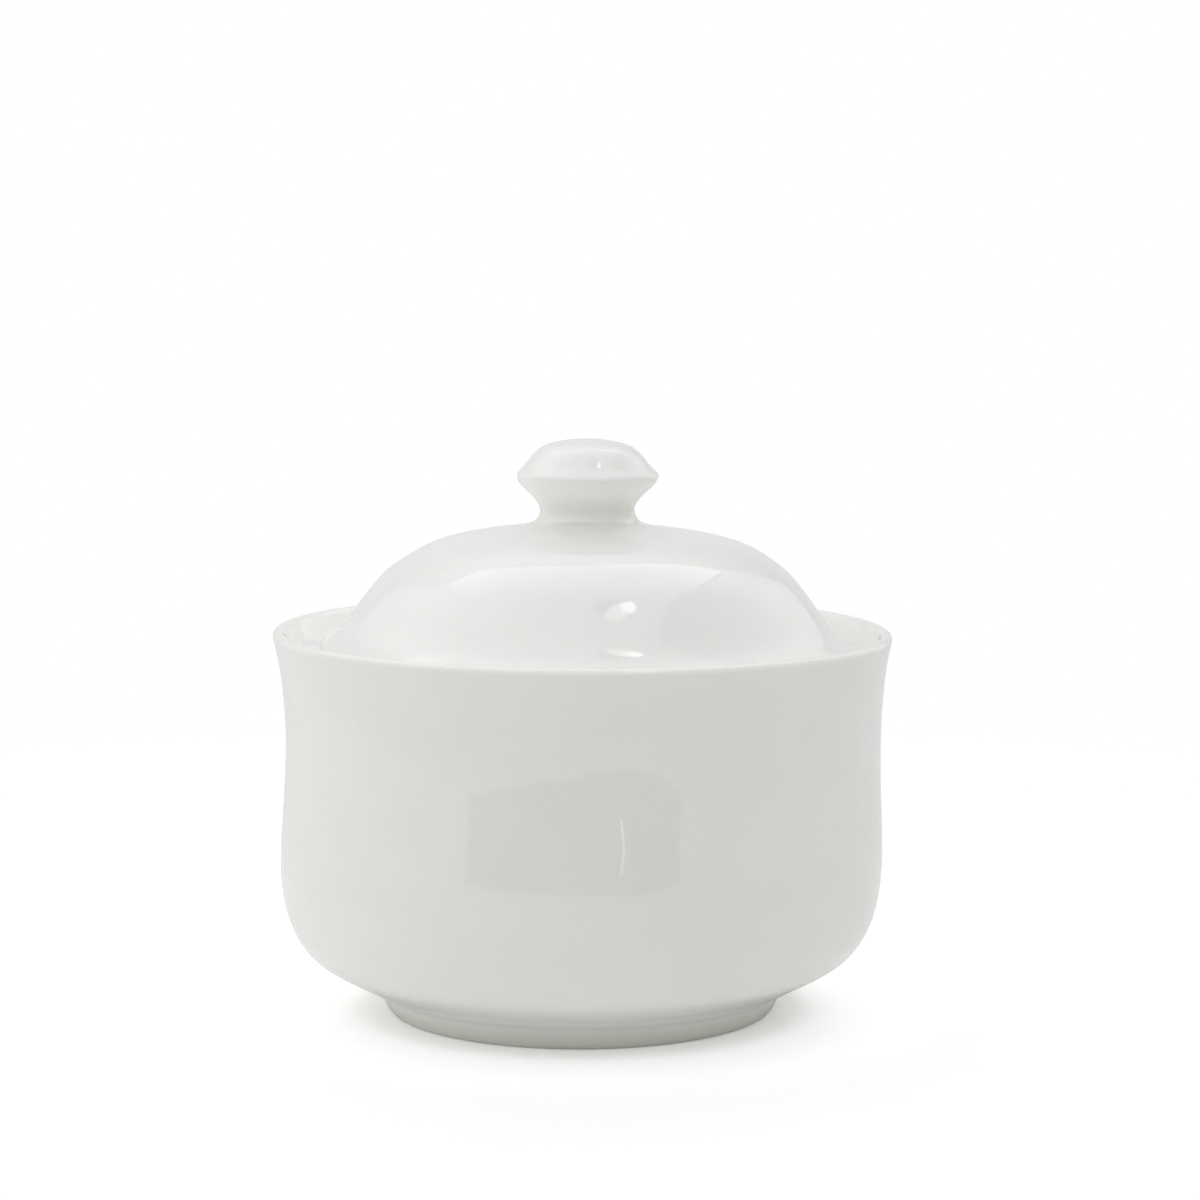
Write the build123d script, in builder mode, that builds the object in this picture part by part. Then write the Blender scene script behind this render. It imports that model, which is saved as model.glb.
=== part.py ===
from build123d import *
import os

# Covered sugar bowl in white glazed bone china: an open bowl on a foot ring, a set-in
# domed lid and its knob. Every piece is turned about +Z. Millimetres. The origin is the
# centre of the plane the foot ring rests on, and +Z points up through the knob.

# ---------------------------------------------------------------- driving dimensions
# foot ring
FOOT_BEARING_INNER_R = 30.5     # the unglazed band that touches the table, inner edge
FOOT_BEARING_OUTER_R = 31.9     # and outer edge
FOOT_TOP_R, FOOT_TOP_Z = 34.1, 3.1      # outside of the ring where it meets the body
RECESS_R, RECESS_Z = 27.0, 3.0  # edge of the nearly flat hollow under the base
RECESS_CROWN_Z = 3.2            # its height in the middle: the base is slightly domed

# body
UNDERSIDE_R, UNDERSIDE_Z = 36.4, 4.68   # start of the flared underside above the foot
LIP_R = 1.05                    # the lip is a full round of this radius
LIP_CENTRE_R, LIP_CENTRE_Z = 51.446, 64.174
FLOOR_Z = 5.9                   # inside floor, in the middle

# gallery: the ledge inside the rim that carries the lid
GALLERY_Z = 60.4                # the ledge's top, and the plane the lid sits on
GALLERY_BORE_R = 42.2           # the mouth of the bowl
GALLERY_EDGE_R = 0.6            # rounding of its upper inner edge

# lid
FLANGE_FLAT_R = 43.9            # outer edge of the flat under the flange
VERGE_R = 41.35                 # top outside of the locating ring that drops into the mouth
VERGE_BORE_R = 38.8             # inside of the ring
VERGE_Z = 55.8                  # its lower, unglazed edge
LID_CROWN_Z = 80.35             # underside of the dome, in the middle

# knob
NECK_R, NECK_Z = 8.0, 85.6      # narrowest point of the neck, where the knob is stuck on
KNOB_TOP_Z = 97.55

# ---------------------------------------------------------------- directions
# Curve end tangents, as (radial, vertical).
OUTWARD, INWARD = (1, 0), (-1, 0)
UPWARD, DOWNWARD = (0, 1), (0, -1)
FOOT_TOP_SLOPE = (0.3, 1)
UNDERSIDE_SLOPE = (1.9, 1)
LIP_OUTER_SLOPE = (0.27, 1)
LIP_INNER_SLOPE = (-0.231, -1)  # heading down from the lip
VERGE_SLOPE = (0.04, 1)         # the outside of the locating ring

# ---------------------------------------------------------------- profiles
# Points are (radius, height), read from below to above unless noted.
FOOT_OUTSIDE = [
    (FOOT_BEARING_OUTER_R, 0.0), (32.5, 0.13), (32.95, 0.55), (33.33, 1.15),
    (33.78, 2.1), (FOOT_TOP_R, FOOT_TOP_Z),
]
# From above to below.
FOOT_INSIDE = [
    (RECESS_R, RECESS_Z), (28.3, 2.87), (29.15, 2.3), (29.6, 1.3),
    (29.88, 0.4), (FOOT_BEARING_INNER_R, 0.0),
]
# From the axis outwards.
RECESS_ROOF = [(0, RECESS_CROWN_Z), (14.0, 3.12), FOOT_INSIDE[0]]
BODY_OUTSIDE = [
    (UNDERSIDE_R, UNDERSIDE_Z), (38.86, 6.0), (41.75, 7.52), (44.4, 9.0), (46.45, 10.55),
    (48.1, 12.6), (49.4, 15.0), (50.35, 17.8), (51.0, 21.0), (51.33, 25.0), (51.30, 29.0),
    (51.08, 33.5), (50.83, 38.0), (50.65, 42.5), (50.61, 47.0), (50.73, 51.0),
    (50.97, 54.5), (51.30, 57.7), (51.75, 60.6), (52.46, 63.9),
]
RIM_INSIDE = [(48.35, GALLERY_Z), (49.4, 61.35), (49.88, 62.6), (50.423, 64.41)]
BODY_INSIDE = [
    (0.0, FLOOR_Z), (12.0, 5.95), (24.0, 6.05), (30.0, 6.35), (34.0, 7.2), (37.2, 8.6),
    (40.5, 10.35), (43.0, 11.85), (44.9, 13.45), (46.2, 15.3), (47.35, 18.0), (48.05, 21.0),
    (48.42, 24.5), (48.5, 28.0), (48.38, 32.5), (48.2, 36.5), (48.05, 41.0), (48.0, 44.5),
    (48.02, 47.5), (47.9, 50.2), (47.35, 52.8), (46.2, 54.9), (44.4, 56.4), (42.85, 57.25),
    (GALLERY_BORE_R, 58.4),
]
LID_OUTSIDE = [
    (FLANGE_FLAT_R, GALLERY_Z), (44.85, 60.85), (45.15, 61.6), (44.95, 62.4), (44.4, 63.1),
    (43.33, 64.0), (42.16, 65.0), (40.42, 67.0), (39.0, 69.0), (37.54, 71.0),
    (35.99, 73.0), (34.17, 75.0), (31.66, 77.0), (28.45, 78.98), (25.2, 80.27),
    (21.9, 81.13), (18.3, 81.74), (14.8, 82.22), (12.0, 82.65), (10.35, 83.02),
    (9.15, 83.5), (8.5, 84.1), (8.13, 84.8), (NECK_R, NECK_Z),
]
LID_INSIDE = [
    (VERGE_BORE_R, 56.5), (38.75, 59.6), (38.4, 62.8), (37.6, 65.6), (36.1, 68.3),
    (34.05, 70.95), (31.6, 73.5), (28.6, 75.65), (24.8, 77.4), (20.5, 78.5), (15.8, 79.2),
    (11.0, 79.85), (6.0, 80.2), (0.0, LID_CROWN_Z),
]
# From above to below: the rounded inner corner at the bottom of the locating ring.
VERGE_INNER_CORNER = [LID_INSIDE[0], (39.0, 56.02), (39.5, VERGE_Z)]
VERGE_OUTER_CORNER = [(40.5, VERGE_Z), (41.05, 56.05), (41.25, 56.6)]
# The small cove between the ring and the flat under the flange.
FLANGE_COVE = [(VERGE_R, 59.7), (41.52, 60.2), (42.0, GALLERY_Z)]
KNOB_OUTSIDE = [
    (NECK_R, NECK_Z), (8.1, 86.1), (8.56, 87.0), (9.38, 88.0), (10.38, 89.0),
    (11.32, 89.95), (11.75, 90.7), (11.9, 91.35), (11.65, 92.05), (10.84, 93.0),
    (9.85, 94.0), (8.87, 95.0), (7.75, 95.93), (6.6, 96.55), (5.0, 97.05), (2.6, 97.44),
    (0.0, KNOB_TOP_Z),
]


def curve(points, start, end):
    """Add a spline through the points, with these end directions, to the open outline."""
    Spline(*points, tangents=[start, end], tangent_scalars=[1, 1])


# ---------------------------------------------------------------- pieces
# Each section is closed on the axis and turned.
def build_bowl():
    """One wall: foot ring, flared underside, full belly, slight waist, lip and gallery."""
    gallery_edge_top = (GALLERY_BORE_R + GALLERY_EDGE_R, GALLERY_Z)
    gallery_edge_bottom = (GALLERY_BORE_R, GALLERY_Z - GALLERY_EDGE_R)
    lip_top = (LIP_CENTRE_R, LIP_CENTRE_Z + LIP_R)
    with BuildPart() as bowl:
        with BuildSketch(Plane.XZ):
            with BuildLine():
                Line(FOOT_INSIDE[-1], FOOT_OUTSIDE[0])
                curve(FOOT_OUTSIDE, OUTWARD, FOOT_TOP_SLOPE)
                curve([FOOT_OUTSIDE[-1], BODY_OUTSIDE[0]], FOOT_TOP_SLOPE, UNDERSIDE_SLOPE)
                curve(BODY_OUTSIDE, UNDERSIDE_SLOPE, LIP_OUTER_SLOPE)
                ThreePointArc(BODY_OUTSIDE[-1], lip_top, RIM_INSIDE[-1])
                curve(RIM_INSIDE[::-1], LIP_INNER_SLOPE, INWARD)
                Line(RIM_INSIDE[0], gallery_edge_top)
                RadiusArc(gallery_edge_top, gallery_edge_bottom, -GALLERY_EDGE_R)
                Line(gallery_edge_bottom, BODY_INSIDE[-1])
                curve(BODY_INSIDE[::-1], DOWNWARD, INWARD)
                Line(BODY_INSIDE[0], RECESS_ROOF[0])
                curve(RECESS_ROOF, OUTWARD, OUTWARD)
                curve(FOOT_INSIDE, OUTWARD, OUTWARD)
            make_face()
        revolve(axis=Axis.Z)
    bowl.part.label = "bowl"
    bowl.part.color = Color(0.93, 0.93, 0.91)
    return bowl.part


def build_lid():
    """The flange rests on the gallery and the ring below it centres the lid in the mouth.

    The dome rises through a cove to the collar the knob stands on.
    """
    with BuildPart() as lid:
        with BuildSketch(Plane.XZ):
            with BuildLine():
                curve(LID_OUTSIDE, OUTWARD, UPWARD)
                Line(LID_OUTSIDE[-1], (0, NECK_Z))
                Line((0, NECK_Z), LID_INSIDE[-1])
                curve(LID_INSIDE[::-1], OUTWARD, DOWNWARD)
                curve(VERGE_INNER_CORNER, DOWNWARD, OUTWARD)
                Line(VERGE_INNER_CORNER[-1], VERGE_OUTER_CORNER[0])
                curve(VERGE_OUTER_CORNER, OUTWARD, VERGE_SLOPE)
                Line(VERGE_OUTER_CORNER[-1], FLANGE_COVE[0])
                curve(FLANGE_COVE, VERGE_SLOPE, OUTWARD)
                Line(FLANGE_COVE[-1], LID_OUTSIDE[0])
            make_face()
        revolve(axis=Axis.Z)
    lid.part.label = "lid"
    lid.part.color = Color(0.95, 0.95, 0.94)
    return lid.part


def build_knob():
    """A solid double cone. Its flat underside is stuck to the collar."""
    with BuildPart() as knob:
        with BuildSketch(Plane.XZ):
            with BuildLine():
                Line((0, NECK_Z), KNOB_OUTSIDE[0])
                curve(KNOB_OUTSIDE, UPWARD, INWARD)
                Line(KNOB_OUTSIDE[-1], (0, NECK_Z))
            make_face()
        revolve(axis=Axis.Z)
    knob.part.label = "knob"
    knob.part.color = Color(0.97, 0.97, 0.96)
    return knob.part


os.makedirs("parts", exist_ok=True)
for piece in (build_bowl(), build_lid(), build_knob()):
    export_step(piece, f"parts/{piece.label}.step")
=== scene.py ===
"""A covered china bowl: a footed bowl, its domed lid, and a knob on the lid.

The bowl stands on z = 0 about the Z axis. The camera looks along +Y, so -X is left, +X is
right and -Y is front. Profiles and glaze places are in millimetres, the stage is in metres
unless it says otherwise.
"""
import math
from functools import partial

import bpy
import numpy as np
from mathutils import Matrix, Vector


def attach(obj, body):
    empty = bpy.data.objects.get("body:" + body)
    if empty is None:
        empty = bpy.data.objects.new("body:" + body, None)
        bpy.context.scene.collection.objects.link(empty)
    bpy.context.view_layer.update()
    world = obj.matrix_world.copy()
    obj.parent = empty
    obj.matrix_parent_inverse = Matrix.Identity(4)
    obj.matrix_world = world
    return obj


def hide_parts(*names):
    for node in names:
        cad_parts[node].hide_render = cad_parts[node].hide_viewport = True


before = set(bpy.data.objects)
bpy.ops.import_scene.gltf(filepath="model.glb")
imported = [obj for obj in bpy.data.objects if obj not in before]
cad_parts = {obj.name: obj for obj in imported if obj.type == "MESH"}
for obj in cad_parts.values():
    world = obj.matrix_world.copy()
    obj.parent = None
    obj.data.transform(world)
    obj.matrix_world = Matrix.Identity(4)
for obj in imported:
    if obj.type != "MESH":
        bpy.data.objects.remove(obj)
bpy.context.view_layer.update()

MM = 0.001                    # metres in a millimetre
AXIS_RADIUS = 1e-6            # a profile point nearer the axis than this is a pole
SHARP_ANGLE = math.radians(38)

# Driving dimensions, mm
LEDGE_Z = 60.4                # ledge inside the bowl's rim, where the lid's flange sits
NECK_RADIUS = 8.0             # neck between the lid and the knob
JOINT_Z = 85.6                # the knob is luted to the lid at this height

# Directions in a profile, as (radial, up)
OUT, IN, UP, DOWN = (1, 0), (-1, 0), (0, 1), (0, -1)


# ------------------------------------------------------------------ curves
def spline(points, start, end, step):
    """A C2 curve through (radius, z) points with the given end directions, cut about every step."""
    knots = np.array(points, float)
    spans = np.hypot(*np.diff(knots, axis=0).T)
    along = np.concatenate([[0.0], np.cumsum(spans)])
    total = len(knots)
    matrix = np.zeros((total, total))
    target = np.zeros((total, 2))
    matrix[0, 0] = matrix[-1, -1] = 1.0
    target[0] = np.array(start, float) / np.hypot(*start)
    target[-1] = np.array(end, float) / np.hypot(*end)
    for i in range(1, total - 1):
        before, after = spans[i - 1], spans[i]
        matrix[i, i - 1:i + 2] = 1 / before, 2 / before + 2 / after, 1 / after
        target[i] = 3 * ((knots[i] - knots[i - 1]) / before ** 2
                         + (knots[i + 1] - knots[i]) / after ** 2)
    slopes = np.linalg.solve(matrix, target)
    count = max(2, int(round(along[-1] / step)))
    places = np.linspace(0, along[-1], count + 1)
    k = np.clip(np.searchsorted(along, places, side="right") - 1, 0, total - 2)
    u = ((places - along[k]) / spans[k])[:, None]
    span = spans[k][:, None]
    return (
        (2 * u**3 - 3 * u**2 + 1) * knots[k] + (u**3 - 2 * u**2 + u) * span * slopes[k]
        + (-2 * u**3 + 3 * u**2) * knots[k + 1] + (u**3 - u**2) * span * slopes[k + 1]
    )


def arc(centre, radius, start, end, step):
    """A circular arc between two angles in degrees."""
    count = max(3, int(round(abs(math.radians(end - start)) * radius / step)))
    angle = np.radians(np.linspace(start, end, count + 1))
    return np.c_[centre[0] + radius * np.cos(angle), centre[1] + radius * np.sin(angle)]


def line(start, end, step):
    count = max(1, int(round(math.hypot(end[0] - start[0], end[1] - start[1]) / step)))
    t = np.linspace(0, 1, count + 1)[:, None]
    return np.array(start, float) * (1 - t) + np.array(end, float) * t


def chain(*parts):
    """Join curves end to end, keeping one of each pair of meeting points."""
    return np.concatenate([parts[0]] + [part[1:] for part in parts[1:]])


# ------------------------------------------------------------------ profiles
# Each table holds (radius, z) in mm, in the order the profile runs.
def bowl_profile():
    foot_inside = [(27.0, 3.0), (28.3, 2.87), (29.15, 2.3), (29.6, 1.3), (29.88, 0.4), (30.5, 0.0)]
    foot_outside = [(31.9, 0.0), (32.5, 0.13), (32.95, 0.55), (33.33, 1.15), (33.78, 2.1),
                    (34.1, 3.1)]
    body_outside = [
        (36.4, 4.68), (38.86, 6.0), (41.75, 7.52), (44.4, 9.0), (46.45, 10.55), (48.1, 12.6),
        (49.4, 15.0), (50.35, 17.8), (51.0, 21.0), (51.33, 25.0), (51.30, 29.0), (51.08, 33.5),
        (50.83, 38.0), (50.65, 42.5), (50.61, 47.0), (50.73, 51.0), (50.97, 54.5), (51.30, 57.7),
        (51.75, 60.6), (52.46, 63.9)]
    rim_inside = [(50.423, 64.41), (49.88, 62.6), (49.4, 61.35), (48.35, LEDGE_Z)]
    body_inside = [
        (42.2, 58.4), (42.85, 57.25), (44.4, 56.4), (46.2, 54.9), (47.35, 52.8), (47.9, 50.2),
        (48.02, 47.5), (48.0, 44.5), (48.05, 41.0), (48.2, 36.5), (48.38, 32.5), (48.5, 28.0),
        (48.42, 24.5), (48.05, 21.0), (47.35, 18.0), (46.2, 15.3), (44.9, 13.45), (43.0, 11.85),
        (40.5, 10.35), (37.2, 8.6), (34.0, 7.2), (30.0, 6.35), (24.0, 6.05), (12.0, 5.95),
        (0.0, 5.9)]
    foot_flare, body_flare = (0.3, 1), (1.9, 1)
    edge_radius = 0.6
    edge_centre = (42.8, LEDGE_Z - edge_radius)
    return chain(
        spline([(0.0, 3.2), (14.0, 3.12), foot_inside[0]], OUT, OUT, step=1.5),
        spline(foot_inside, OUT, OUT, step=0.3),
        line(foot_inside[-1], foot_outside[0], step=0.35),
        spline(foot_outside, OUT, foot_flare, step=0.25),
        spline([foot_outside[-1], body_outside[0]], foot_flare, body_flare, step=0.25),
        spline(body_outside, body_flare, (0.27, 1), step=0.72),
        arc((51.446, 64.174), radius=1.05, start=-15.1, end=167.0, step=0.2),
        spline(rim_inside, (-0.231, -1), IN, step=0.4),
        line(rim_inside[-1], (edge_centre[0], LEDGE_Z), step=0.7),
        arc(edge_centre, edge_radius, start=90, end=180, step=0.16),
        line((edge_centre[0] - edge_radius, edge_centre[1]), body_inside[0], step=0.35),
        spline(body_inside, DOWN, IN, step=0.95),
    )


def lid_profile():
    inside = [
        (0.0, 80.35), (6.0, 80.2), (11.0, 79.85), (15.8, 79.2), (20.5, 78.5), (24.8, 77.4),
        (28.6, 75.65), (31.6, 73.5), (34.05, 70.95), (36.1, 68.3), (37.6, 65.6), (38.4, 62.8),
        (38.75, 59.6), (38.8, 56.5)]
    skirt_inner_edge = [inside[-1], (39.0, 56.02), (39.5, 55.8)]
    skirt_outer_edge = [(40.5, 55.8), (41.05, 56.05), (41.25, 56.6)]
    skirt_corner = [(41.35, 59.7), (41.52, 60.2), (42.0, LEDGE_Z)]
    outside = [
        (43.9, LEDGE_Z), (44.85, 60.85), (45.15, 61.6), (44.95, 62.4), (44.4, 63.1), (43.33, 64.0),
        (42.16, 65.0), (40.42, 67.0), (39.0, 69.0), (37.54, 71.0), (35.99, 73.0), (34.17, 75.0),
        (31.66, 77.0), (28.45, 78.98), (25.2, 80.27), (21.9, 81.13), (18.3, 81.74), (14.8, 82.22),
        (12.0, 82.65), (10.35, 83.02), (9.15, 83.5), (8.5, 84.1), (8.13, 84.8),
        (NECK_RADIUS, JOINT_Z)]
    skirt_slope = (0.04, 1)
    return chain(
        spline(inside, OUT, DOWN, step=0.8),
        spline(skirt_inner_edge, DOWN, OUT, step=0.2),
        line(skirt_inner_edge[-1], skirt_outer_edge[0], step=0.35),
        spline(skirt_outer_edge, OUT, skirt_slope, step=0.2),
        line(skirt_outer_edge[-1], skirt_corner[0], step=0.5),
        spline(skirt_corner, skirt_slope, OUT, step=0.2),
        line(skirt_corner[-1], outside[0], step=0.45),
        spline(outside, OUT, UP, step=0.34),
        line(outside[-1], (0.0, JOINT_Z), step=1.2),
    )


def knob_profile():
    outside = [
        (NECK_RADIUS, JOINT_Z), (8.1, 86.1), (8.56, 87.0), (9.38, 88.0), (10.38, 89.0),
        (11.32, 89.95), (11.75, 90.7), (11.9, 91.35), (11.65, 92.05), (10.84, 93.0), (9.85, 94.0),
        (8.87, 95.0), (7.75, 95.93), (6.6, 96.55), (5.0, 97.05), (2.6, 97.44), (0.0, 97.55)]
    # The thrown surface swells about a tenth of a millimetre off this turned line.
    # Columns: height in mm, change of slope in degrees.
    turns = np.array([
        (88.0, 0.0), (91.2, 0.0), (91.45, 2.0), (91.68, 6.0), (91.91, 9.0), (92.16, 9.0),
        (92.48, 5.0), (92.8, 0.0), (93.1, -4.0), (93.45, -6.2), (93.87, -5.6), (94.66, -3.6),
        (95.44, -0.8), (96.05, 2.0), (96.45, 4.0), (96.9, 2.0), (97.4, 0.0)])
    turned = spline(outside, UP, IN, step=0.10)
    tangent = np.gradient(turned, axis=0)
    length = np.hypot(*tangent.T)
    normal = np.stack([tangent[:, 1], -tangent[:, 0]], 1) / length[:, None]
    # slopes are summed from the crown down, then faded out below the girth
    rise = np.radians(np.interp(turned[:, 1], turns[:, 0], turns[:, 1])) * length
    swell = np.cumsum(rise[::-1])[::-1] * np.interp(turned[:, 1], [87.5, 91.2], [0.0, 1.0])
    base = line((0.0, JOINT_Z), outside[0], step=1.2)
    return chain(base, turned + normal * swell[:, None])


# ------------------------------------------------------------------ firing movement
LEAN = math.radians(0.40)     # the body above the foot settled this far to +X in the kiln
LID_SHIFT, KNOB_SHIFT = 0.97, 0.90    # how far each stands off the axis to +X, mm
# Columns: height, how far the bowl's wall there stands off to +X, mm
BOWL_SHIFT = np.array([(0, 0.0), (12, 0.0), (22, 0.04), (36, 0.32), (47, 0.47), (56, 0.42),
                       (64, 0.32), (66, 0.31)])


def smooth(value, start, end):
    t = np.clip((value - start) / (end - start), 0.0, 1.0)
    return t * t * (3 - 2 * t)


def settle_bowl(x, y, z):
    """Lean the bowl above its foot and push its waist to one side."""
    shift = np.interp(z, BOWL_SHIFT[:, 0], BOWL_SHIFT[:, 1])
    tilt = LEAN * smooth(z, 8.0, 46.0)
    return x + shift, y, z - x * np.tan(tilt)


def settle_lid(x, y, z, shift):
    """Tilt a piece with the leaning ledge and push it to one side of the play in the seat."""
    sine, cosine = math.sin(LEAN), math.cos(LEAN)
    height = z - LEDGE_Z
    return x * cosine + height * sine + shift, y, LEDGE_Z + height * cosine - x * sine


def warp_lid(radius, z, angle, normal_z):
    """The dome sank: its -X shoulder by up to 0.3 mm, its crown on both sides by half that."""
    if normal_z <= 0 or z < 62.0:
        return 0.0
    shoulder = 0.28 * math.exp(-((radius - 29.5) / 5.0) ** 2)
    crown = 0.15 * math.exp(-((radius - 18.0) / 5.5) ** 2) * smooth(radius, 9.5, 13.0)
    left = smooth(-np.cos(angle), 0.55, 1.0)
    right = smooth(np.cos(angle), 0.55, 1.0)
    return -(shoulder + crown) * left - crown * right


def warp_knob(radius, z, angle, normal_z):
    """The girth is a little sharper to +X and blunter to -X."""
    depth, girth_z, reach = 0.11, 91.5, 1.3
    return depth * np.cos(angle) * smooth(reach - abs(z - girth_z), 0.0, reach)


# ------------------------------------------------------------------ lathe
def ring_points(profile, segments, warp):
    """Points of every ring, and the index of each ring's first point. A pole is one point."""
    tangent = np.gradient(profile, axis=0)
    tangent /= np.maximum(np.hypot(*tangent.T), 1e-9)[:, None]
    angle = np.arange(segments) / segments * 2 * math.pi
    rings, first, count = [], [], 0
    for (radius, z), (normal_z, normal_r) in zip(profile, tangent * (-1, 1)):
        first.append(count)
        if radius <= AXIS_RADIUS:
            ring = np.array([[0.0, 0.0, z]])
        else:
            offset = warp(radius, z, angle, normal_z) if warp else 0.0
            ring_radius = np.full(segments, radius + offset * normal_r)
            ring_z = np.full(segments, z + offset * normal_z)
            ring = np.c_[ring_radius * np.cos(angle), ring_radius * np.sin(angle), ring_z]
        rings.append(ring)
        count += len(ring)
    return np.concatenate(rings), first


def ring_faces(pole, first, segments):
    """Corner indices and corner counts of the faces between neighbouring rings."""
    this = np.arange(segments)
    after = (this + 1) % segments
    corners, sizes = [], []
    for i in range(len(first) - 1):
        low, high = first[i], first[i + 1]
        if pole[i]:
            faces = np.stack([np.full(segments, low), high + after, high + this], 1)
        elif pole[i + 1]:
            faces = np.stack([low + this, low + after, np.full(segments, high)], 1)
        else:
            faces = np.stack([low + this, low + after, high + after, high + this], 1)
        corners.append(faces.ravel())
        sizes.append(np.full(len(faces), faces.shape[1]))
    return np.concatenate(corners), np.concatenate(sizes)


def lathe(name, profile, segments, body, node, settle, warp=None):
    """A closed turned solid from a profile that starts and ends on the axis.

    warp(radius, z, angle, normal_z) moves a ring along its normal, settle(x, y, z) moves points.
    """
    points, first = ring_points(profile, segments, warp)
    points = np.stack(settle(*points.T), 1)
    corners, sizes = ring_faces(profile[:, 0] <= AXIS_RADIUS, first, segments)
    starts = np.concatenate([[0], np.cumsum(sizes)[:-1]])
    mesh = bpy.data.meshes.new(name)
    mesh.vertices.add(len(points))
    mesh.vertices.foreach_set("co", (points * MM).astype(np.float32).ravel())
    mesh.loops.add(len(corners))
    mesh.loops.foreach_set("vertex_index", corners.astype(np.int32))
    mesh.polygons.add(len(sizes))
    mesh.polygons.foreach_set("loop_start", starts.astype(np.int32))
    mesh.polygons.foreach_set("use_smooth", np.ones(len(sizes), bool))
    mesh.update(calc_edges=True)
    mesh.validate()
    mesh.set_sharp_from_angle(angle=SHARP_ANGLE)
    piece = bpy.data.objects.new(name, mesh)
    bpy.context.scene.collection.objects.link(piece)
    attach(piece, body)
    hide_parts(node)
    return piece


bowl = lathe("china_bowl", bowl_profile(), segments=320, body="bowl", node="bowl",
             settle=settle_bowl)
lid = lathe("china_lid", lid_profile(), segments=320, body="lid", node="lid",
            settle=partial(settle_lid, shift=LID_SHIFT), warp=warp_lid)
knob = lathe("china_knob", knob_profile(), segments=192, body="lid", node="knob",
             settle=partial(settle_lid, shift=KNOB_SHIFT), warp=warp_knob)


# ------------------------------------------------------------------ node graphs
class Graph:
    """Short calls for building the node tree of a material or world."""

    def __init__(self, owner):
        owner.use_nodes = True
        self.tree = owner.node_tree
        self.tree.nodes.clear()

    def put(self, value, socket):
        """Link a socket to another, or set its value."""
        if isinstance(value, bpy.types.NodeSocket):
            self.tree.links.new(value, socket)
        else:
            socket.default_value = value

    def node(self, kind, inputs=None, **settings):
        made = self.tree.nodes.new(kind)
        for key, value in settings.items():
            setattr(made, key, value)
        for key, value in (inputs or {}).items():
            self.put(value, made.inputs[key])
        return made

    def math(self, operation, first, second=0.0, clamp=False):
        return self.node("ShaderNodeMath", {0: first, 1: second, 2: 0.0},
                         operation=operation, use_clamp=clamp).outputs[0]

    def plus(self, first, second, clamp=False):
        return self.math("ADD", first, second, clamp=clamp)

    def minus(self, first, second, clamp=False):
        return self.math("SUBTRACT", first, second, clamp=clamp)

    def times(self, first, second):
        return self.math("MULTIPLY", first, second)

    def larger(self, first, second):
        return self.math("MAXIMUM", first, second)

    def above(self, value, limit):
        return self.math("GREATER_THAN", value, limit)

    def below(self, value, limit):
        return self.math("LESS_THAN", value, limit)

    def distance(self, x, y):
        """Distance from the Z axis."""
        return self.math("SQRT", self.plus(self.times(x, x), self.times(y, y)))

    def ramp(self, value, span, out=(0.0, 1.0)):
        """Smoothly from out[0] where value is span[0] to out[1] where it is span[1]."""
        return self.node("ShaderNodeMapRange", {
            "Value": value, "From Min": span[0], "From Max": span[1],
            "To Min": out[0], "To Max": out[1]}, interpolation_type="SMOOTHSTEP").outputs[0]

    def bell(self, value, centre, width):
        """1 at centre, 0 beyond width either side."""
        away = self.math("ABSOLUTE", self.minus(value, centre))
        return self.ramp(away, span=(0.0, width), out=(1.0, 0.0))

    def mix(self, factor, first, second, kind="RGBA"):
        first_at, second_at, out = {"RGBA": (6, 7, 2), "FLOAT": (2, 3, 0)}[kind]
        return self.node("ShaderNodeMix", {0: factor, first_at: first, second_at: second},
                         data_type=kind).outputs[out]

    def noise(self, scale, detail=2.0, roughness=0.5, vector=None):
        inputs = {"Scale": scale, "Detail": detail, "Roughness": roughness}
        if vector is not None:
            inputs["Vector"] = vector
        return self.node("ShaderNodeTexNoise", inputs).outputs[0]

    def split(self, output):
        """X, Y and Z of a texture coordinate."""
        vector = self.node("ShaderNodeTexCoord").outputs[output]
        return self.node("ShaderNodeSeparateXYZ", {0: vector}).outputs

    def camera_ray(self):
        return self.node("ShaderNodeLightPath").outputs["Is Camera Ray"]


# ------------------------------------------------------------------ china
WHITE_BOWL = (0.900, 0.900, 0.877, 1)
WHITE_LID = (0.904, 0.906, 0.8885, 1)
# tint of deep glaze, also used as painted shade round the lid's neck and under the knob
POOL_AND_SHADE = (0.820, 0.825, 0.770, 1)
FOOT_SHADE_AND_POOL = (0.790, 0.797, 0.735, 1)    # painted shade on the foot, also the deep glaze in the bowl's hollows
# painted light: a whiter colour laid where the china should look more lit
PAINTED_LIGHT_WHITE = (0.945, 0.945, 0.93, 1)
IRON = (0.20, 0.17, 0.13, 1)
BISCUIT_DARK = (0.80, 0.775, 0.725, 1)
BISCUIT_LIGHT = (0.88, 0.865, 0.83, 1)
UNDER_GLAZE = 0.20            # share of light scattered in the clay


def iron_specks(graph, place):
    """How strong the iron is: one Voronoi cell in ten may hold a speck of its own size and depth."""
    cells = graph.node("ShaderNodeTexVoronoi", {"Vector": place, "Scale": 95.0, "Randomness": 1.0},
                       feature="F1")
    chance, width, depth = graph.node(
        "ShaderNodeSeparateColor", {0: cells.outputs["Color"]}).outputs
    size = graph.ramp(width, span=(0.0, 1.0), out=(0.008, 0.022))
    near = graph.minus(1.0, graph.math("DIVIDE", cells.outputs["Distance"], size), clamp=True)
    speck = graph.times(graph.ramp(near, span=(0.0, 0.6)), graph.below(chance, limit=0.10))
    return graph.times(speck, graph.ramp(depth, span=(0.0, 1.0), out=(0.10, 0.45)))


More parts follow.
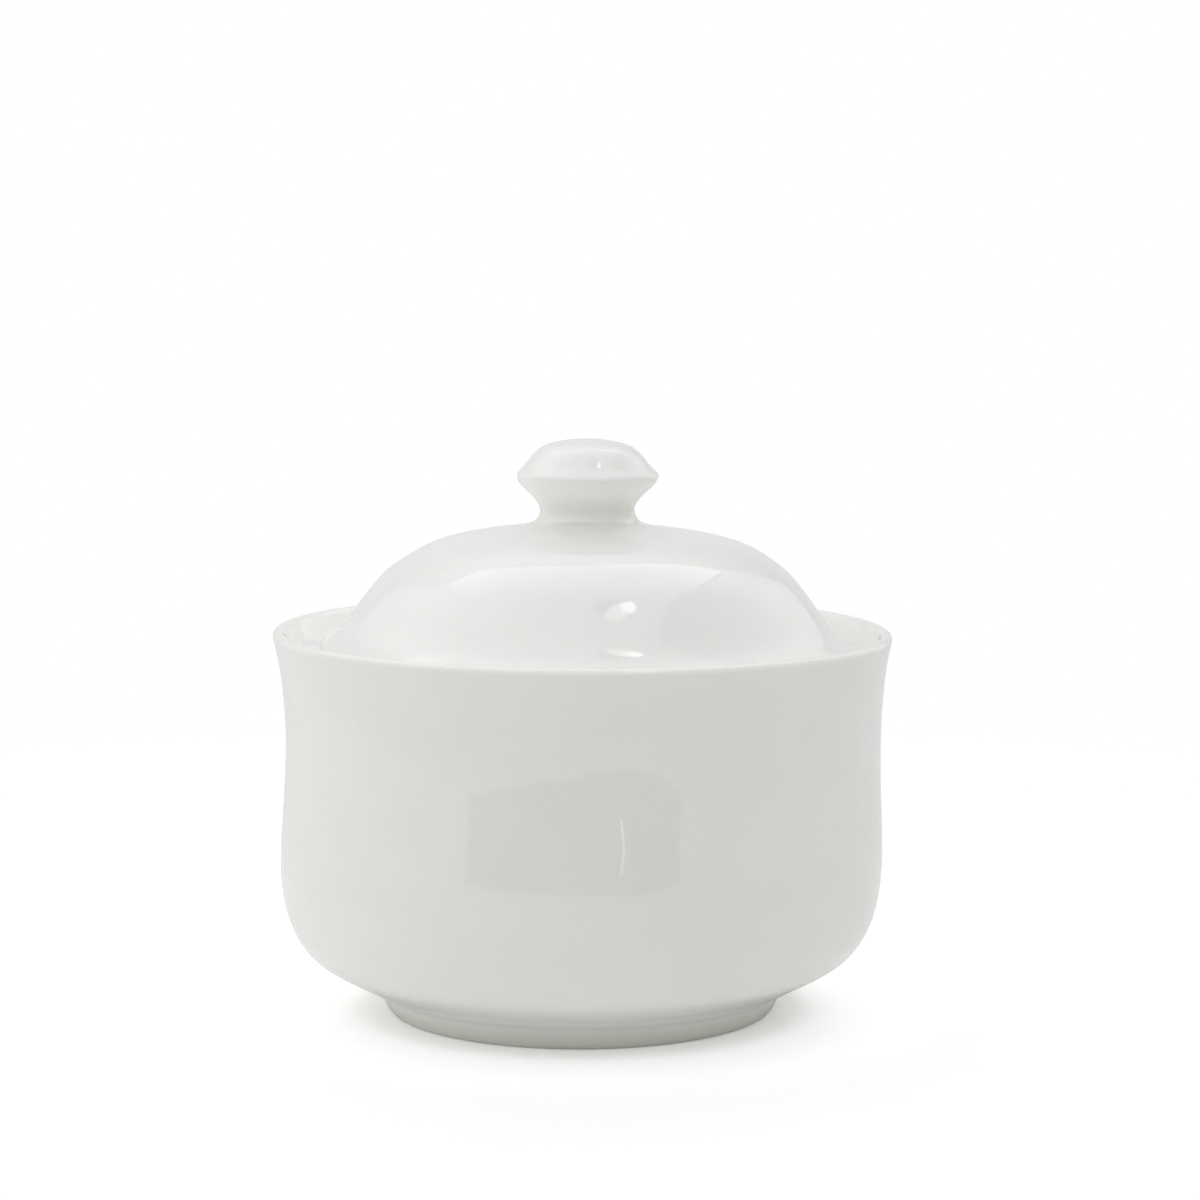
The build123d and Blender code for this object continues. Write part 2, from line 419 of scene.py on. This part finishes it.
def china(name, body, pool_shade_colour, pooling_and_shade, wiping, joint_z=None, painted_light=None):
    """Glazed bone china.

    Given the graph, radius and height in mm, pooling says where the glaze lies deep and where shade
    is painted, wiping where it was wiped away, and thinning where light is painted on. Scattering
    fades to nothing near joint_z, where two pieces are luted.
    """
    material = bpy.data.materials.new(name)
    graph = Graph(material)
    place = graph.node("ShaderNodeTexCoord").outputs["Object"]
    xyz = graph.node("ShaderNodeSeparateXYZ", {0: place}).outputs
    x, y, z = [graph.times(xyz[axis], 1000.0) for axis in range(3)]
    radius = graph.distance(x, y)
    pool_shade = pooling_and_shade(graph, radius, z)
    bare = wiping(graph, radius, z)
    # cloudy body under the glaze, then a fine grain
    cloud = graph.noise(scale=70.0, detail=3.0, roughness=0.55, vector=place)
    grain = graph.noise(scale=1500.0, detail=2.0, roughness=0.6, vector=place)
    tone = graph.plus(graph.ramp(cloud, span=(0.3, 0.7), out=(-0.009, 0.009)),
                      graph.ramp(grain, span=(0.3, 0.7), out=(-0.006, 0.006)))
    # deep glaze and painted shade, mixed into one tint
    colour = graph.mix(pool_shade, body, pool_shade_colour)
    # painted light: a whiter colour where the china should look more lit
    if painted_light is not None:
        colour = graph.mix(painted_light(graph, radius, z), colour, PAINTED_LIGHT_WHITE)
    colour = graph.node("ShaderNodeHueSaturation", {
        "Value": graph.plus(tone, 1.0), "Color": colour}).outputs[0]
    speck = iron_specks(graph, place)
    colour = graph.mix(speck, colour, IRON)
    # bare biscuit
    dust = graph.noise(scale=2600.0, detail=3.0, roughness=0.7, vector=place)
    biscuit = graph.mix(graph.ramp(dust, span=(0.35, 0.65)), BISCUIT_DARK, BISCUIT_LIGHT)
    colour = graph.mix(bare, colour, biscuit)
    # the glaze is nearly a mirror, a little duller in patches and on specks; biscuit is matt
    wave = graph.noise(scale=160.0, detail=2.0, roughness=0.5, vector=place)
    patches = graph.noise(scale=240.0, detail=4.0, roughness=0.6, vector=place)
    glaze_rough, speck_rough, biscuit_rough = 0.018, 0.15, 0.62
    rough = graph.plus(glaze_rough, graph.ramp(patches, span=(0.35, 0.7), out=(0.0, 0.020)))
    rough = graph.plus(rough, graph.times(speck, speck_rough))
    rough = graph.mix(bare, rough, biscuit_rough, "FLOAT")
    skin = graph.node("ShaderNodeBump", {
        "Strength": 0.10, "Distance": 0.00006, "Height": wave}).outputs[0]
    biscuit_grit = 0.55
    grit = graph.node("ShaderNodeBump", {
        "Strength": graph.times(bare, biscuit_grit), "Distance": 0.00005, "Height": dust,
        "Normal": skin}).outputs[0]
    scatter = UNDER_GLAZE
    if joint_z is not None:
        away = graph.math("ABSOLUTE", graph.minus(z, joint_z))
        scatter = graph.ramp(away, span=(0.5, 6.0), out=(0.0, UNDER_GLAZE))
    glaze_specular, biscuit_specular = 0.5, 0.25
    surface = graph.node("ShaderNodeBsdfPrincipled", {
        "Base Color": colour, "Roughness": rough, "IOR": 1.53, "Normal": grit,
        "Specular IOR Level": graph.mix(bare, glaze_specular, biscuit_specular, "FLOAT"),
        "Subsurface Weight": scatter, "Subsurface Radius": (1.0, 0.93, 0.80),
        "Subsurface Scale": 0.0012})
    graph.node("ShaderNodeOutputMaterial", {"Surface": surface.outputs[0]})
    return material


def bowl_pool_and_shade(graph, radius, z):
    """Painted shade with some deep glaze on the outside of the foot, darker towards the bottom all
    round; deep glaze inside the foot ring and faintly where the rim meets the ledge.
    """
    foot_shade_depth, seat_depth = 0.8, 0.18
    # painted shade on the outside of the foot, partly deep glaze
    foot = graph.times(graph.ramp(z, span=(3.9, 2.3), out=(0.0, 1.2)),
                       graph.above(radius, limit=31.5))
    inner = graph.times(graph.bell(z, centre=2.6, width=1.8), graph.below(radius, limit=31.0))
    seat = graph.bell(z, centre=60.5, width=0.9)
    rim_side = graph.above(radius, limit=47.5)
    # painted shade: darker towards the bottom all round
    low = graph.ramp(z, span=(5.0, 1.0), out=(0.0, 0.2))
    seat = graph.times(seat, graph.below(radius, limit=49.3))
    seat = graph.times(graph.times(seat, rim_side), seat_depth)
    return graph.plus(graph.larger(graph.times(foot, foot_shade_depth), low),
                      graph.larger(inner, seat), clamp=True)


def bowl_painted_light(graph, radius, z):
    """Painted light: whiter from the lip down to the ledge, all over the inside, and just above the
    foot.
    """
    # painted light on the rim's inside, from the lip down to the ledge
    rim = graph.times(graph.ramp(z, span=(58.5, 60.0)), graph.ramp(radius, span=(51.4, 50.6)))
    # a surface in the thickness of the wall: a cone low down, a cylinder above
    cone_radius, cone_slope, cylinder_radius = 28.0, 1.3, 49.3
    wall = graph.math("MINIMUM", graph.plus(cone_radius, graph.times(z, cone_slope)),
                      cylinder_radius)
    # painted light all over the inside
    inside = graph.times(graph.ramp(graph.minus(radius, wall), span=(0.3, -0.3)),
                         graph.ramp(z, span=(4.6, 5.2)))
    # painted light just above the foot
    shelf_light = graph.times(graph.bell(z, centre=6.0, width=2.2), graph.above(radius, limit=33.5))
    return graph.larger(graph.larger(rim, inside), shelf_light)


def bowl_wiping(graph, radius, z):
    """The bearing edge of the foot, a little uneven where the sponge ran round."""
    wander = graph.ramp(graph.noise(scale=130.0), span=(0.3, 0.7), out=(-0.10, 0.10))
    return graph.ramp(graph.plus(z, wander), span=(0.48, 0.30))


def lid_pool_and_shade(graph, radius, z):
    """Painted shade round the neck under the knob, partly deep glaze, and deep glaze in the cove
    above the flange's underside.
    """
    neck_shade_weight, depth = 2.6, 0.35
    # painted shade round the neck, where the knob overhangs the lid
    neck = graph.times(graph.ramp(z, span=(82.9, 84.6)), graph.ramp(radius, span=(11.5, 9.2)))
    neck = graph.times(neck, neck_shade_weight)
    cove = graph.times(graph.bell(z, centre=60.8, width=1.3), graph.below(radius, limit=44.6))
    return graph.times(graph.larger(neck, cove), depth)


def lid_painted_light(graph, radius, z):
    """Painted light: whiter over the crown round the neck."""
    return graph.times(graph.ramp(radius, span=(10.5, 13.0)),
                       graph.ramp(radius, span=(30.0, 18.0)))


def lid_wiping(graph, radius, z):
    """The bottom edge of the skirt."""
    return graph.ramp(z, span=(56.35, 56.10))


def knob_shade_and_pool(graph, radius, z):
    # painted shade on the knob's underside, darkest at the joint, where some glaze also pools
    return graph.ramp(z, span=(89.0, JOINT_Z), out=(0.0, 0.91))


def no_wiping(graph, radius, z):
    return graph.times(z, 0.0)


bowl.data.materials.append(china(
    "bowl_china", WHITE_BOWL, FOOT_SHADE_AND_POOL, bowl_pool_and_shade, bowl_wiping, painted_light=bowl_painted_light))
lid.data.materials.append(china(
    "lid_china", WHITE_LID, POOL_AND_SHADE, lid_pool_and_shade, lid_wiping, JOINT_Z, lid_painted_light))
knob.data.materials.append(china(
    "knob_china", WHITE_LID, POOL_AND_SHADE, knob_shade_and_pool, no_wiping, JOINT_Z))


# ------------------------------------------------------------------ soft lights
def softbox(name, level, centre, size, aim):
    """A soft light that neither camera nor glaze sees. White paper in full light has level 1."""
    light = bpy.data.lights.new(name, "AREA")
    light.shape = "RECTANGLE"
    light.size, light.size_y = size
    light.energy = level * math.pi * light.size * light.size_y
    box = bpy.data.objects.new(name, light)
    bpy.context.scene.collection.objects.link(box)
    way = Vector(aim) - Vector(centre)
    turn = way.to_track_quat("-Z", "Y").to_matrix().to_4x4()
    box.matrix_world = Matrix.Translation(centre) @ turn
    box.visible_camera = False
    box.visible_glossy = False


# Columns: name, level, centre, size, point aimed at
for settings in (
    ("D_top", 0.1749, (-0.10, -0.05, 1.0), (1.2, 1.2), (-0.1, -0.05, 0)),
    ("D_left_high", 0.4877, (-0.9, 0.0, 0.65), (1.4, 0.5), (0, 0, 0.10)),
    ("D_left_low", 0.6410, (-0.9, 0.0, 0.20), (1.4, 0.38), (0, 0, 0.10)),
    ("D_right_high", 0.3647, (0.55, 0.1, 0.90), (1.0, 0.5), (0, 0, 0.08)),
    ("D_back_high", 1.0640, (0.0, 0.8, 0.9), (1.6, 0.6), (0, 0, 0.08)),
    ("D_lamp", 0.2477, (0.19, -0.28, 0.90), (0.12, 0.12), (0, 0, 0.07)),
):
    softbox(*settings)


# ------------------------------------------------------------------ mirrored cards
def card(name, level, corners, foot=None, rise=()):
    """A flat card that only the glaze mirrors.

    rise holds (axis, start, end) entries: the card brightens from foot to level as each of
    those coordinates goes from start to end.
    """
    mesh = bpy.data.meshes.new(name)
    mesh.from_pydata(corners, [], [tuple(range(len(corners)))])
    sheet = bpy.data.objects.new(name, mesh)
    bpy.context.scene.collection.objects.link(sheet)
    material = bpy.data.materials.new(name)
    graph = Graph(material)
    emission = graph.node("ShaderNodeEmission", {"Strength": level})
    if rise:
        place = graph.split("Object")
        ramps = [graph.ramp(place[axis], span=(start, end)) for axis, start, end in rise]
        high = ramps[0]
        for ramp in ramps[1:]:
            high = graph.node("ShaderNodeMath", {0: high, 1: ramp},
                              operation="MULTIPLY").outputs[0]
        strength = graph.node("ShaderNodeMapRange", {
            "Value": high, "To Min": foot, "To Max": level}).outputs[0]
        graph.put(strength, emission.inputs["Strength"])
    graph.node("ShaderNodeOutputMaterial", {"Surface": emission.outputs[0]})
    material.cycles.emission_sampling = "NONE"
    mesh.materials.append(material)
    for ray in ("camera", "diffuse", "shadow", "transmission", "volume_scatter"):
        setattr(sheet, "visible_" + ray, False)


def level_sheet(z, points):
    """Corners at height z in metres, from (x, y) in mm."""
    return [(x / 1000, y / 1000, z) for x, y in points]


def wall(start, end, height):
    """Corners of an upright card on the ground from start to end, in metres."""
    return [(*start, 0.0), (*end, 0.0), (*end, height), (*start, height)]


Y_AXIS, Z_AXIS = 1, 2
LEFT_FADE, RIGHT_FADE = (Y_AXIS, 0.95, 0.15), (Y_AXIS, 1.30, 0.50)   # duller towards the back
ROOM, ROOM_BACK = 4.0, 2.6    # the room reaches ROOM to the sides, front and up, metres
GROUND_Z = 0.0006             # cards lying just over the floor

# the tent: overhead sheet and its border, left wall, dimmer right wall, roofs over both, front
card("G_over", 2.8500, level_sheet(0.90, (
    (-620, -900), (430, -900), (440, -340), (462, -100), (474, 100), (472, 300), (500, 520),
    (540, 760), (400, 668), (288, 640), (192, 598), (110, 540), (51, 478), (-53, 440),
    (-164, 448), (-264, 474), (-350, 512), (-450, 545), (-610, 540))))
card("G_rim", 1.3000, level_sheet(0.905, (
    (440, 300), (488, 300), (514, 520), (562, 790), (400, 684), (286, 655), (188, 613),
    (102, 553), (46, 493), (-54, 455), (-163, 463), (-261, 489), (-347, 527), (-450, 561),
    (-620, 556), (-300, 300))))
card("G_left", 2.6000, wall((-0.70, -0.6), (-0.70, 0.963), height=0.92),
     foot=1.0500, rise=(LEFT_FADE, (Z_AXIS, 0.12, 0.80)))
card("G_right", 2.1000, wall((0.75, -0.6), (0.75, 1.30), height=0.92),
     foot=1.2000, rise=(RIGHT_FADE, (Z_AXIS, 0.12, 0.70)))
card("G_roof_left", 2.6000, level_sheet(0.91, (
    (-705, -900), (-400, -900), (-400, 400), (-598, 536), (-705, 970))),
     foot=1.1500, rise=(LEFT_FADE,))
card("G_roof_right", 2.1000, level_sheet(0.91, (
    (300, -900), (755, -900), (755, 1310), (520, 735), (300, 500))),
     foot=1.2000, rise=(RIGHT_FADE,))
card("G_front", 1.6245, wall((-1.2, -1.3), (1.2, -1.3), height=1.3))
card("G_back", 1.8500, wall((-ROOM, ROOM_BACK), (ROOM, ROOM_BACK), height=ROOM),
     foot=0.7800, rise=((Z_AXIS, 1.0, 4.0),))
# the lamp, front right under the overhead sheet: halo, body and brightest part
card("G_halo", 1.9000, level_sheet(0.885, (
    (44, -299), (64, -228), (101, -196), (150, -183), (205, -187), (240, -215), (200, -300),
    (112, -340), (98, -360), (66, -335))))
card("G_lamp", 4.4000, level_sheet(0.88, (
    (98, -355), (115, -367), (154, -373), (199, -361), (215, -350), (247, -304), (265, -296),
    (273, -254), (256, -221), (226, -187), (208, -209), (164, -230), (145, -270), (112, -324))))
card("G_core", 7.2000, level_sheet(0.875, (
    (182, -275), (199, -305), (223, -312), (247, -304), (265, -296), (273, -254), (256, -221),
    (226, -187), (208, -209), (178, -241))))
# the room round the tent: ceiling, front wall and side walls
card("G_room", 1.8500, [(-ROOM, -ROOM, ROOM), (ROOM, -ROOM, ROOM), (ROOM, ROOM_BACK, ROOM),
                        (-ROOM, ROOM_BACK, ROOM)])
card("G_far", 1.5500, wall((-ROOM, -ROOM), (ROOM, -ROOM), height=ROOM))
card("G_side_left", 1.3595, wall((-ROOM, -ROOM), (-ROOM, ROOM_BACK), height=ROOM))
card("G_side_right", 2.0294, wall((ROOM, -ROOM), (ROOM, ROOM_BACK), height=ROOM))
# past the edges of the white table the mirrored ground is duller, and dark in the front opening
card("G_gap_left", 0.8539, level_sheet(GROUND_Z, (
    (-235, -262), (-4660, -5262), (-5000, 3000), (-235, 205))))
card("G_gap_right", 0.8021, level_sheet(GROUND_Z, (
    (222, 205), (5000, 3000), (5000, -5262), (3613, -5262), (178, -262), (222, -262))))
card("G_gap_back", 0.7678, level_sheet(GROUND_Z, (
    (-235, 205), (-5000, 3000), (5000, 3000), (222, 205))))
card("G_open", 0.0500, level_sheet(GROUND_Z, (
    (3613, -5262), (-4655, -5262), (-248, -282), (-205, -279), (-168, -292), (-130, -289),
    (-103, -298), (-76, -288), (-50, -291), (-4, -281), (20, -268), (44, -264), (74, -256),
    (116, -252), (145, -258), (178, -264))))
# a narrow bright streak in the opening
card("G_streak", 2.0000, level_sheet(0.0008, (
    (91, -408), (99, -410), (143, -524), (134, -524))))


# ------------------------------------------------------------------ world, floor, camera
def build_world():
    """Even light; the camera sees a white sweep, duller round the sides and at the front."""
    ambient, sweep_sides, sweep_back = 0.6071, 0.8300, 1.0
    world = bpy.data.worlds.new("studio")
    bpy.context.scene.world = world
    graph = Graph(world)
    seen = graph.camera_ray()
    way = graph.split("Generated")
    flat = graph.distance(way[0], way[1])
    least_flat = 0.001        # keeps the division safe straight up and down
    backward = graph.math("DIVIDE", way[1], graph.larger(flat, least_flat))
    backdrop = graph.ramp(backward, span=(0.70, 0.93), out=(sweep_sides, sweep_back))
    level = graph.mix(seen, ambient, backdrop, "FLOAT")
    sky = graph.node("ShaderNodeBackground", {"Color": (1, 1, 1, 1), "Strength": level})
    graph.node("ShaderNodeOutputWorld", {"Surface": sky.outputs[0]})
    world.cycles_visibility.glossy = False


def build_floor():
    """White paper that glows a little in a ring round the foot and fades into the backdrop."""
    mesh = bpy.data.meshes.new("floor")
    mesh.from_pydata([(-6, -3, 0), (6, -3, 0), (6, 9, 0), (-6, 9, 0)], [], [(0, 1, 2, 3)])
    floor = bpy.data.objects.new("floor", mesh)
    bpy.context.scene.collection.objects.link(floor)
    material = bpy.data.materials.new("paper")
    graph = Graph(material)
    paper_dark, paper_light = (0.845, 0.845, 0.838, 1), (0.855, 0.855, 0.847, 1)
    fibre = graph.noise(scale=900.0, detail=3.0, roughness=0.6)
    paper = graph.mix(graph.ramp(fibre, span=(0.35, 0.65)), paper_dark, paper_light)
    diffuse = graph.node("ShaderNodeBsdfDiffuse", {"Color": paper})
    spot = graph.split("Object")
    away = graph.distance(spot[0], spot[1])
    ring_glow = 0.0695
    ring = graph.times(graph.ramp(away, span=(0.035, 0.042)),
                       graph.plus(graph.ramp(away, span=(0.070, 0.052)),
                                  graph.ramp(away, span=(0.24, 0.10))))
    lift = graph.times(ring, ring_glow)
    seen = graph.plus(lift, graph.ramp(away, span=(0.15, 1.0), out=(0.26, 0.90)))
    glow = graph.mix(graph.camera_ray(), lift, seen, "FLOAT")
    emission = graph.node("ShaderNodeEmission", {"Strength": glow})
    lit = graph.node("ShaderNodeAddShader", {0: diffuse.outputs[0], 1: emission.outputs[0]})
    fade = graph.times(graph.camera_ray(), graph.ramp(away, span=(0.09, 0.34)))
    clear = graph.node("ShaderNodeBsdfTransparent")
    surface = graph.node("ShaderNodeMixShader", {
        0: fade, 1: lit.outputs[0], 2: clear.outputs[0]})
    graph.node("ShaderNodeOutputMaterial", {"Surface": surface.outputs[0]})
    mesh.materials.append(material)


def build_camera():
    pitch_down, turn_right = 0.113914, 0.00544109     # radians
    lens = bpy.data.cameras.new("camera")
    camera = bpy.data.objects.new("camera", lens)
    bpy.context.scene.collection.objects.link(camera)
    lens.sensor_width = 36.0
    lens.lens = 106.9629
    lens.clip_start, lens.clip_end = 0.01, 50.0
    camera.location = (0.0, -0.60181, 0.13898)
    camera.rotation_mode = "XYZ"
    camera.rotation_euler = (math.pi / 2 - pitch_down, 0.0, -turn_right)
    bpy.context.scene.camera = camera


build_world()
build_floor()
build_camera()

view = bpy.context.scene.view_settings
view.view_transform = "Standard"
view.look = "None"
view.exposure = 0.0
view.gamma = 1.0
